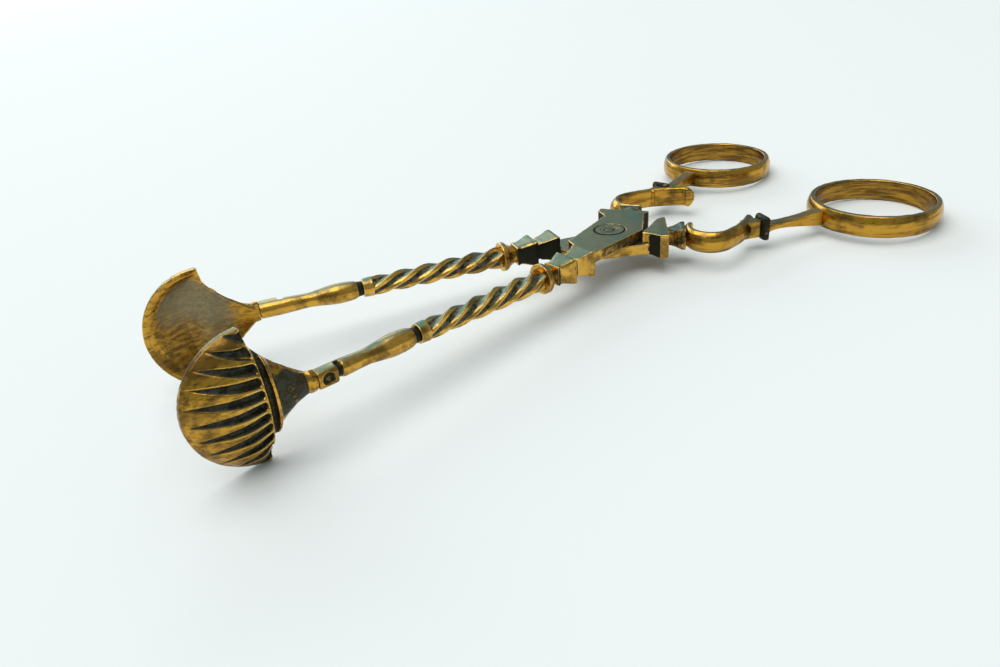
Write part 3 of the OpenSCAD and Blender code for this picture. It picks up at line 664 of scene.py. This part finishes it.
def mark_block(spot, marks):
    """Painted shade on the sides that face the other arm, outwards and towards the
    shell, in the gaps beside the leaf and on the shoulder knop's side that faces
    the rivet. Soot round the waist, at the foot's end and in the gap round the
    washer."""
    along, across, height = spot.place.T
    from_rivet = np.hypot(along, across)
    side = 1 - step(np.abs(spot.facing[:, 2]), *SIDE_FACING)
    beyond_leaf = step(-along, *BLOCK_START)
    inner = side * beyond_leaf * step(spot.facing[:, 1], *FLAT_FACING)
    outer = side * beyond_leaf * step(-spot.facing[:, 1], *FLAT_FACING)
    front = beyond_leaf * step(-spot.facing[:, 0], *FLAT_FACING)
    waist = side * np.maximum(
        between(along, *WAIST_MARK, WAIST_MARK_BLUR),
        between(along, *FOOT_END, FOOT_END_BLUR))
    knop = side * step(-(spot.facing @ SHOULDER_WAY), *SHOULDER_FACING)
    knop = knop * step(along, *SHOULDER_START)
    leaf = side * between(along, *LEAF, LEAF_BLUR) * step(np.abs(height), *LEAF_HEIGHT)
    gap = between(from_rivet, *WASHER_GAP, WASHER_GAP_BLUR)
    # Painted shade on the block's sides, the leaf and the knop; soot in the waist and the washer gap
    marks.dark = np.max([
        marks.dark,
        INNER_SIDE_SHADE * inner,
        OUTER_SIDE_SHADE * outer,
        FRONT_SIDE_SHADE * front,
        WAIST_SOOT * waist,
        SHOULDER_SHADE * knop,
        LEAF_SIDE_SHADE[spot.body] * leaf,
        WASHER_GAP_SOOT * gap,
    ], axis=0)
    marks.worn_and_highlit = marks.worn_and_highlit * step(from_rivet, *LEAF_WEAR_AND_HIGHLIGHT_START)


def mark_flared_collar(spot, marks):
    marks.dark = np.maximum(marks.dark, FLARED_COLLAR_SOOT)


def mark_handle_knop(spot, marks):
    marks.dark = np.maximum(marks.dark, HANDLE_KNOP_SOOT)


def mark_ring(spot, marks):
    """Brown on the inside of the ring: painted shade."""
    inwards = -((spot.place - RING_CENTRE) * spot.facing).sum(1)
    marks.brown = np.maximum(marks.brown, RING_INSIDE_SHADE * step(inwards, *RING_INSIDE))


def mark_pin(spot, marks):
    """Two rings of soot on the head, and a rusty middle."""
    radius = np.hypot(spot.place[:, 0], spot.place[:, 1])
    marks.dark = HEAD_SOOT * np.maximum(
        between(radius, *HEAD_RING, HEAD_RING_BLUR),
        between(radius, *MIDDLE_RING, MIDDLE_RING_BLUR))
    marks.brown = np.maximum(marks.brown, 1 - step(radius, *RUST_END))


def mark_washer(spot, marks):
    """Soot at the rim."""
    radius = np.hypot(spot.place[:, 0], spot.place[:, 1])
    marks.dark = WASHER_SOOT * step(radius, *WASHER_RIM)


MARK = {
    "shell_grip": mark_shell,
    "baluster": mark_baluster,
    "hinge_block": mark_block,
    "flared_collar": mark_flared_collar,
    "handle_knop": mark_handle_knop,
    "finger_ring": mark_ring,
    "pin": mark_pin,
    "washer_top": mark_washer,
    "washer_bottom": mark_washer,
}

# How each kind is cast, in mm: the grid of its mesh, its unevenness, how far it
# is softened, and the hollow's depth where soot starts and is full. Wear and
# highlight is the share of pale gold on its edges, for wear and a painted highlight
Casting = namedtuple("Casting", "grid swell soften soot_from wear")
WASHER = Casting(grid=0.08, swell=0.0, soften=0.1, soot_from=(-0.07, 0.02), wear=0.0)
CASTING = {
    "shell_grip": Casting(0.12, 0.03, 0.10, (0.0, 0.16), 0.8),
    "baluster": Casting(0.1, 0.025, 0.32, (0.04, 0.22), 0.7),
    "twisted_bar": Casting(0.1, 0.05, 0.08, (-0.11, 0.07), 0.8),
    "stem_collar": Casting(0.1, 0.04, 0.12, (0.0, 0.16), 0.8),
    "hinge_block": Casting(0.11, 0.02, 0.12, (0.02, 0.18), 0.9),
    "flared_collar": Casting(0.1, 0.03, 0.12, (-0.04, 0.16), 0.7),
    "scroll": Casting(0.1, 0.03, 0.12, (0.06, 0.30), 0.6),
    "handle_knop": Casting(0.1, 0.02, 0.65, (-0.05, 0.1), 0.5),
    "ring_neck": Casting(0.1, 0.02, 0.12, (-0.02, 0.08), 0.6),
    "finger_ring": Casting(0.16, 0.03, 0.12, (0.1, 0.3), 0.5),
    "pin": Casting(0.08, 0.0, 0.08, (0.0, 0.08), 0.3),
    "washer_top": WASHER,
    "washer_bottom": WASHER,
}

# How far in mm the small and the wide hollows reach, and how deep a crevice or
# high an edge starts to count and counts in full. A scroll's crevices are clean
EDGE_REACH = 0.32
HOLLOW_REACH = 1.1
CREVICE_DEPTH = (0.02, 0.08)
EDGE_HEIGHT = (0.015, 0.085)
CLEAN_CREVICES = ("scroll",)

# What faces down is browner: painted shade
UNDER_FACING = (-0.1, 0.8)
UNDER_SHADE = 0.55

# The unevenness is of coarse and fine lumps: size in mm, seed and share
LUMPS = ((2.1, 1, 0.7), (0.6, 2, 0.3))


def even_mesh(name, grid):
    """A CAD node's shape, in mm, as an even mesh."""
    copy = frame["nodes"][name].data.copy()
    copy.materials.clear()
    copy.transform(Matrix.Scale(1 / MM, 4))
    mesh = changed(copy, "REMESH", mode="VOXEL", voxel_size=grid)
    bpy.data.meshes.remove(copy)
    return mesh


def shape_casting(mesh, kind, how, from_arm):
    """Softens a mesh, and gives it what the casting has and the plain shape
    lacks. Returns where its points are in the arm's frame."""
    to_arm = from_arm.inverted()
    points = smoothed(mesh, how.soften, how.grid)
    if kind == "hinge_block":
        rounder = smoothed(mesh, BLOCK_ROUNDING, how.grid)
        along = moved(points, to_arm, True)[:, 0]
        share = between(along, *BLOCK_FOOT, BLOCK_FOOT_BLUR)[:, None]
        points = points * (1 - share) + rounder * share
    normals = place_points(mesh, points)
    place = moved(points, to_arm, True)
    if kind in RESHAPE:
        RESHAPE[kind](place, moved(normals, to_arm, False))
    return place


def marks_of(mesh, kind, how, spot):
    """Where a casting is dark with soot and painted shade, brown with stains and painted shade, worn with painted
    highlights, or smooth inside.
    """
    points, normals = spot.points, spot.normals
    relief = ((smoothed(mesh, EDGE_REACH, how.grid) - points) * normals).sum(1)
    hollow = ((smoothed(mesh, HOLLOW_REACH, how.grid) - points) * normals).sum(1)
    marks = SimpleNamespace(
        dark=line(hollow, *how.soot_from),
        # Painted shade: browner where the surface faces down
        brown=UNDER_SHADE * line(-normals[:, 2], *UNDER_FACING),
        worn_and_highlit=how.wear * line(-relief, *EDGE_HEIGHT),
        inside=np.zeros(len(points)),
    )
    if kind in MARK:
        MARK[kind](spot, marks)
    if kind not in CLEAN_CREVICES:
        marks.dark = np.maximum(marks.dark, line(relief, *CREVICE_DEPTH))
    marks.brown = np.maximum(marks.dark, marks.brown)
    return marks


def cast(name, kind, body):
    """Replaces a CAD node with a fine even mesh that has the soft edges and the
    unevenness of a casting, and writes its marks on it."""
    how = CASTING[kind]
    from_arm = FROM_RIVET @ ARM_TURN[body]
    mesh = even_mesh(name, how.grid)
    place = shape_casting(mesh, kind, how, from_arm)
    points = moved(place, from_arm, True)
    normals = place_points(mesh, points)
    spot = SimpleNamespace(
        body=body,
        points=points,
        normals=normals,
        place=place,
        facing=moved(normals, from_arm.inverted(), False),
    )
    marks = marks_of(mesh, kind, how, spot)
    for mark in ("dark", "brown", "worn_and_highlit", "inside"):
        values = getattr(marks, mark)
        mesh.attributes.new(mark, "FLOAT", "POINT").data.foreach_set("value", values)
    shift = how.swell * sum(
        share * lumps(points, size, seed) for size, seed, share in LUMPS)
    mesh.vertices.foreach_set("co", (points + normals * shift[:, None]).ravel())
    mesh.transform(Matrix.Scale(MM, 4))
    mesh.shade_smooth()
    piece = bpy.data.objects.new(name + "_cast", mesh)
    bpy.context.scene.collection.objects.link(piece)
    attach(piece, body)
    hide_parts(name)
    return piece


# The floor is a wide pale disc. Its size is in metres
FLOOR_COLOUR = rgb(0.84, 0.885, 0.89)
FLOOR_ROUGHNESS = 0.9
FLOOR_RADIUS = 1.6
FLOOR_CORNERS = 96
ROOM_COLOUR = rgb(0.30, 0.34, 0.355)
WHITE = rgb(1.0, 1.0, 1.0)


def make_floor():
    corners = [math.tau * i / FLOOR_CORNERS for i in range(FLOOR_CORNERS)]
    rim = [(FLOOR_RADIUS * math.cos(a), FLOOR_RADIUS * math.sin(a), 0) for a in corners]
    mesh = bpy.data.meshes.new("floor")
    mesh.from_pydata(rim, [], [tuple(range(FLOOR_CORNERS))])
    floor = bpy.data.objects.new("floor", mesh)
    bpy.context.scene.collection.objects.link(floor)
    material = bpy.data.materials.new("floor")
    material.use_nodes = True
    shader = material.node_tree.nodes["Principled BSDF"]
    shader.inputs["Base Color"].default_value = FLOOR_COLOUR
    shader.inputs["Roughness"].default_value = FLOOR_ROUGHNESS
    mesh.materials.append(material)


def make_world():
    """A dim room that the camera sees as plain white."""
    world = bpy.data.worlds.new("studio")
    bpy.context.scene.world = world
    world.use_nodes = True
    tree = world.node_tree
    rays = node(tree, "ShaderNodeLightPath")
    colour = mixed(tree, rays.outputs["Is Camera Ray"], ROOM_COLOUR, WHITE)
    tree.links.new(colour, tree.nodes["Background"].inputs["Color"])


def make_lamp(name, place, target, size, power, colour):
    """A rectangular lamp. Places and sizes are in metres, and power in watts."""
    data = bpy.data.lights.new(name, "AREA")
    data.shape = "RECTANGLE"
    data.size, data.size_y = size
    data.energy = power
    data.color = colour
    lamp = bpy.data.objects.new(name, data)
    lamp.location = place
    aim = Vector(target) - Vector(place)
    lamp.rotation_euler = aim.to_track_quat("-Z", "Y").to_euler()
    bpy.context.scene.collection.objects.link(lamp)


make_camera()
make_floor()
make_world()
make_lamp(
    "overhead", place=(-0.66, 0.28, 3.0), target=(0, 0, 0), size=(3.75, 3.2),
    power=86, colour=(1.0, 0.965, 0.92))
make_lamp(
    "window", place=(0.17, 3.0, 1.25), target=(0, 0.2, 0), size=(3.33, 1.5),
    power=36, colour=(0.90, 0.97, 1.0))

PLAIN = brass("brass_cast", rgb(0.70, 0.395, 0.07), film_and_reflection=0.95, pits=0.25)
BAND = brass("brass_band", GOLD, film_and_reflection=0.6, pits=0.02, grain_way=(0.1, 0.1, 1.0))
SKIN = {
    "shell_grip": brass(
        "brass_shell", GOLD, film_and_reflection=0.5, pits=0.05, grain_way=(0.2, 1.0, 1.0),
        hollow_colour=DARK_ASH),
    "baluster": brass("brass_baluster", rgb(0.68, 0.375, 0.06), film_and_reflection=0.75, pits=0.22),
    "twisted_bar": brass(
        "brass_twist", rgb(0.72, 0.415, 0.08), film_and_reflection=1.0, pits=0.15, hollow_colour=ASH),
    "scroll": BAND,
    "finger_ring": BAND,
    "ring_neck": BAND,
    "pin": brass("iron", rgb(0.23, 0.235, 0.18), film_and_reflection=0.5, pits=0.1, dull=0.2),
}

for body, members in frame["record"]["behaviour"]["bodies"].items():
    for name in members:
        # A node's name is its arm, or the rivet, and then its kind
        kind = name.split("_", 1)[1]
        piece = cast(name, kind, body)
        piece.data.materials.append(SKIN.get(kind, PLAIN))

bpy.context.scene.view_settings.view_transform = "Standard"
